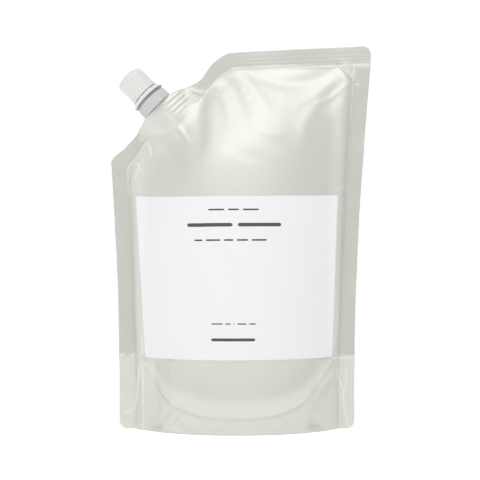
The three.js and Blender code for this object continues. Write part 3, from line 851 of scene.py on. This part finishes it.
CAP_BOTTOM, CAP_TOP, CAP_R, CAP_INNER_R, CAP_ROOF = 12.9, 29.8, 9.9, 8.9, 1.5
CAP_RIBS, RIB_DEPTH = 36, 0.58
CAP_ROUND = 3.3  # radius of the edge between its side and its top
TOP_DISH, CAP_THREAD = 0.12, 0.4
cap_edge = [(CAP_R - CAP_ROUND + CAP_ROUND * math.cos(a), CAP_TOP - CAP_ROUND + CAP_ROUND * math.sin(a))
            for a in np.linspace(0, math.pi / 2, 9)]
cap_outline = split(np.vstack([
    [(0.02, CAP_TOP - CAP_ROOF), (CAP_INNER_R - 0.4, CAP_TOP - CAP_ROOF),
     (CAP_INNER_R, CAP_TOP - CAP_ROOF - 0.4), (CAP_INNER_R, CAP_BOTTOM + 0.4),
     (CAP_INNER_R + 0.3, CAP_BOTTOM), (CAP_R - 0.3, CAP_BOTTOM), (CAP_R, CAP_BOTTOM + 0.3)],
    cap_edge, [(CAP_R - CAP_ROUND - 1.0, CAP_TOP), (CAP_R - CAP_ROUND - 1.4, CAP_TOP - TOP_DISH),
               (0.02, CAP_TOP - TOP_DISH)]]), 0.5)[::-1]


def cap_shaping(radius, height, angle):
    """The ribs for grip and the thread inside."""
    outside = (radius > CAP_INNER_R + 0.35) | (height > CAP_TOP - CAP_ROOF + 0.2)
    groove = np.clip(1.8 * np.cos(CAP_RIBS * angle) - 0.7, 0, 1)
    low = np.clip((height - CAP_BOTTOM - 0.9) / 0.5, 0, 1)
    over = np.clip((radius - CAP_R + CAP_ROUND) / CAP_ROUND, 0, 1)
    radius = radius - outside * RIB_DEPTH * groove * low * over
    inside = (np.abs(radius - CAP_INNER_R) < 0.05) & (height < CAP_TOP - 3)
    between = THREAD_FOOT + THREAD_LEAD / (2 * THREAD_STARTS)  # midway between the neck's ridges
    return radius - inside * thread(height, angle, between, CAP_THREAD, 14.6, 25.0, 0.7)


cap_points, cap_faces = turned(cap_outline, cap_shaping, CAP_RIBS * 10)
cap = add_object("ribbed_cap", cap_points, cap_faces, white_pe)
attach(cap, "cap")
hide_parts("cap")


# ---- cap liner ----------------------------------------------------------------------------------
# A disc of foamed polyethylene, punched from sheet and pressed into the cap's roof, where it seals on
# the neck's rim. A plain disc is all it is, so the CAD solid is shown.

# White closed-cell foam: matt, with fine dimples where the sheet's cells are cut or pressed.
foam, tree, shader, place = new_material("foamed_polyethylene", IOR=1.5, Roughness=0.75)
cells = add_node(tree, "TexVoronoi", {"Vector": place, "Scale": 1 / (0.35 * MM)})
tint = add_node(tree, "Mix", {"Factor": cells.outputs["Distance"], "A": linear("#f3f3f0"),
                              "B": linear("#e6e6e2")}, data_type="RGBA")
tree.links.new(tint.outputs["Result"], shader.inputs["Base Color"])
bump = add_node(tree, "Bump", {"Height": cells.outputs["Distance"], "Distance": 0.06 * MM})
tree.links.new(bump.outputs["Normal"], shader.inputs["Normal"])
liner = frame["nodes"]["cap_liner"]
liner.data.materials.clear()
liner.data.materials.append(foam)
for face in liner.data.polygons:
    face.material_index = 0


# ---- label --------------------------------------------------------------------------------------
# A coated white paper label, die cut and stuck on the front panel from seal to seal. Its text is
# left out: plain bars of dark ink stand where the lines of text would be.

PAPER = 0.11 * MM  # the label's thickness with its glue
LABEL_LIFT = 0.16 * MM  # its clearance from the film's mesh, whose rows are not the label's
LABEL_STEPS_U, LABEL_STEPS_V = 110, 76


def on_film(u, v):
    """Places on the finished front panel and its normals there, for columns u and heights v."""
    column = np.interp(u, film_flat[:, 0, 0], np.arange(len(film_flat)))
    panel = resampled(front, column, 0)
    heights = resampled(film_flat, column, 0)[..., 1]
    normals = resampled(outward(front), column, 0)
    places, facing = [], []
    for k in range(len(u)):
        row = np.interp(v, heights[k], np.arange(heights.shape[1]))
        places.append(resampled(panel[k], row, 0))
        facing.append(resampled(normals[k], row, 0))
    return np.stack(places), np.stack(facing)


label_u = np.linspace(-FLAT_HALF, FLAT_HALF, 2 * LABEL_STEPS_U)
label_v = np.linspace(LABEL_LOW, LABEL_HIGH, LABEL_STEPS_V)
label_edges = np.linspace(LABEL_FOOT, LABEL_HEAD, LABEL_STEPS_V)
label_columns = [np.interp(np.linspace(left, right, LABEL_STEPS_U), label_u, np.arange(len(label_u)))
                 for left, right in label_edges]
label_place, label_normal = [
    np.stack([resampled(grid[:, row], columns, 0) for row, columns in enumerate(label_columns)], axis=1)
    for grid in on_film(label_u, label_v)]
label_points, label_faces = [], []
outer = add_grid(label_points, label_faces, label_place + label_normal * (LABEL_LIFT + PAPER))
inner = add_grid(label_points, label_faces, label_place + label_normal * LABEL_LIFT, flip=True)
for a, b in ((outer[:, 0], inner[:, 0]), (inner[:, -1], outer[:, -1]),
             (inner[0], outer[0]), (outer[-1], inner[-1])):
    add_faces(label_faces, np.stack([a, b], axis=1), flip=True)

# Coated label paper: matt white clay coating over fine pulp fibres, printed in one dark brown ink.
paper, tree, shader, place = new_material("coated_label_paper", IOR=1.5, Roughness=0.55)
tint, fibre = mottled(tree, place, "#e8e8e9", "#ededee", 1.6 * MM, Detail=4.0, Roughness=0.65)
tree.links.new(tint, shader.inputs["Base Color"])
bump = add_node(tree, "Bump", {"Height": fibre, "Distance": 0.03 * MM})
tree.links.new(bump.outputs["Normal"], shader.inputs["Normal"])

label = add_object("label_sheet", label_points, label_faces, paper)
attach(label, "pouch")
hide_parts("label")

# The print: a line's height up the pouch and its letters' height, its left end, and the widths of
# its words and of the spaces between them, all in millimetres.
PRINT = [
    (146.2, 1.1, -18.6, (10.6, 2.2, 7.2, 2.2, 10.4)),
    (136.1, 2.4, -32.4, (29.6, 3.4, 28.0)),
    (126.0, 1.1, -27.6, (5.6, 2.0, 9.6, 2.0, 6.2, 2.0, 7.4, 2.0, 9.8)),
    (71.4, 0.8, -16.2, (7.4, 1.4, 3.6, 1.6, 0.7, 1.6, 6.0, 1.4, 4.6)),
    (61.2, 1.9, -16.2, (27.6,)),
]
INK_LIFT = LABEL_LIFT + PAPER + 0.02 * MM


def word_bar(points, faces, left, right, centre, height):
    """A bar with round ends on the label, where a word would stand."""
    steps = max(6, round((right - left) / 0.8))
    u = np.linspace(left, right, steps) * MM
    reach = height * MM / 2  # half the bar's height, and the radius of its ends
    from_end = np.clip(np.minimum(u - u[0], u[-1] - u) / reach, 0, 1)
    half = reach * np.sqrt(np.clip(1 - (1 - from_end) ** 2, 0.15, 1))
    panel, normal = on_film(u, np.linspace(centre - height, centre + height, 9) * MM)
    rows = 4 + 2 * np.linspace(-1, 1, 5) * (half / reach)[:, None]  # among the nine read from the film
    bar = np.stack([resampled(panel[k] + normal[k] * INK_LIFT, rows[k], 0) for k in range(len(u))])
    add_grid(points, faces, bar)


ink_points, ink_faces = [], []
for centre, height, left, widths in PRINT:
    for k, width in enumerate(widths):
        if k % 2 == 0:
            word_bar(ink_points, ink_faces, left, left + width, centre, height)
        left += width

# Dark brown flexographic ink: a thin matt film that lets a little of the paper's grain through.
ink, tree, shader, place = new_material("brown_flexographic_ink", IOR=1.5, Roughness=0.6)
tint, _ = mottled(tree, place, "#4b4541", "#5a5450", 0.5 * MM)
tree.links.new(tint, shader.inputs["Base Color"])
print_bars = add_object("label_print", ink_points, ink_faces, ink)
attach(print_bars, "pouch")


# ---- floor, light and camera --------------------------------------------------------------------
# A white sweep under a large soft lamp high in front, with a small one overhead and a weak one on the
# left, in an even white surround. The camera stands low and close in front.

SWEEP_FRONT, SWEEP_BEND, SWEEP_R, SWEEP_TOP, SWEEP_HALF = -8.0, 1.2, 0.8, 4.0, 4.0
sweep_line = [(SWEEP_FRONT, 0.0), (SWEEP_BEND, 0.0)]
sweep_line += [(SWEEP_BEND + SWEEP_R * math.sin(a), SWEEP_R - SWEEP_R * math.cos(a))
               for a in np.linspace(0.1, math.pi / 2, 12)]
sweep_line += [(SWEEP_BEND + SWEEP_R, SWEEP_TOP)]
sweep_points, sweep_faces = [], []
sweep_grid = np.array([[(x, y, z) for y, z in sweep_line] for x in (-SWEEP_HALF, SWEEP_HALF)])
add_grid(sweep_points, sweep_faces, sweep_grid)

# Seamless white background paper with light behind it: one even white with no horizon or edge.
card, tree, shader, place = new_material("backlit_paper_sweep", Roughness=0.9,
                                         Emission_Color=(1, 1, 1, 1), Emission_Strength=0.34)
tint, _ = mottled(tree, place, "#f6f6f6", "#fafafa", 400 * MM)
tree.links.new(tint, shader.inputs["Base Color"])
sweep = add_object("sweep", sweep_points, sweep_faces, card)

world = bpy.data.worlds.new("studio")
world.use_nodes = True
world.node_tree.nodes["Background"].inputs["Color"].default_value = (1, 1, 1, 1)
world.node_tree.nodes["Background"].inputs["Strength"].default_value = 0.46
bpy.context.scene.world = world

MIDDLE = Vector((0, 0, POUCH_HIGH[2] / 2))


def add_lamp(name, place, size, power):
    """A soft rectangular lamp turned towards the pouch's middle."""
    light = bpy.data.lights.new(name, "AREA")
    light.shape = "RECTANGLE"
    light.size, light.size_y = size
    light.energy = power
    lamp = bpy.data.objects.new(name, light)
    bpy.context.scene.collection.objects.link(lamp)
    lamp.location = place
    lamp.rotation_euler = (MIDDLE - Vector(place)).to_track_quat("-Z", "Y").to_euler()


add_lamp("key", (0.0, -1.1, 1.35), size=(1.5, 0.9), power=11.2)
add_lamp("top", (0.0, -0.2, 1.3), size=(0.9, 0.6), power=1.5)
add_lamp("side", (-1.2, -0.55, 0.45), size=(0.7, 0.9), power=1.0)

CAMERA_AT = Vector((2 * MM, -0.680, 0.085))
CAMERA_AIM = Vector((2 * MM, 0, 0.1243))
camera = bpy.data.cameras.new("camera")
camera.sensor_width = 36
camera.lens = 76.7
camera_stand = bpy.data.objects.new("camera", camera)
bpy.context.scene.collection.objects.link(camera_stand)
camera_stand.location = CAMERA_AT
camera_stand.rotation_euler = (CAMERA_AIM - CAMERA_AT).to_track_quat("-Z", "Y").to_euler()
bpy.context.scene.camera = camera_stand
bpy.context.scene.view_settings.view_transform = "Standard"
